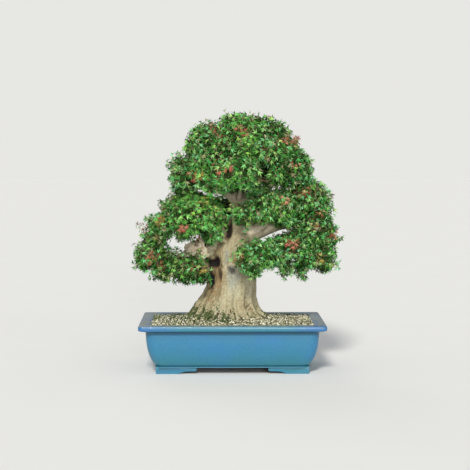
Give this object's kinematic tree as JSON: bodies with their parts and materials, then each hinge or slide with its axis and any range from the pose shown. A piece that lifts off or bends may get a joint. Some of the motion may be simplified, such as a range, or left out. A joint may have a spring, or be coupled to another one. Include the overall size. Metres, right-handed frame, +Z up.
{
  "type": "potted bonsai maple",
  "caption": "Trident maple bonsai in leaf, with a heavy tapering trunk on surface roots, in a blue glazed rectangular pot with rim and feet.",
  "frame": {"origin": "on the ground under the middle of the pot", "axes": "+Z up, -Y out of the front of the tree, +X to the right of someone looking at the front"},
  "size_m": [0.7835, 0.5442, 0.9299],
  "materials": {
    "glaze": "gloss",
    "mesh": "matte",
    "wire": "satin",
    "gravel": "matte",
    "bark": "matte",
    "leaf": "matte"
  },
  "bodies": {
    "root": {"pot": "glaze", "drain_screen_left": "mesh", "drain_screen_right": "mesh", "screen_clip_left": "wire", "screen_clip_right": "wire", "soil": "gravel", "trunk_and_branches": "bark", "foliage_apex": "leaf", "foliage_upper_left": "leaf", "foliage_upper_right": "leaf", "foliage_upper_front": "leaf", "foliage_upper_back": "leaf", "foliage_mid_left": "leaf", "foliage_far_left": "leaf", "foliage_low_left": "leaf", "foliage_mid_right": "leaf", "foliage_far_right": "leaf", "foliage_low_right": "leaf", "foliage_front_right": "leaf", "foliage_back_left": "leaf", "foliage_back_right": "leaf", "foliage_back_low": "leaf"}
  },
  "joints": []
}
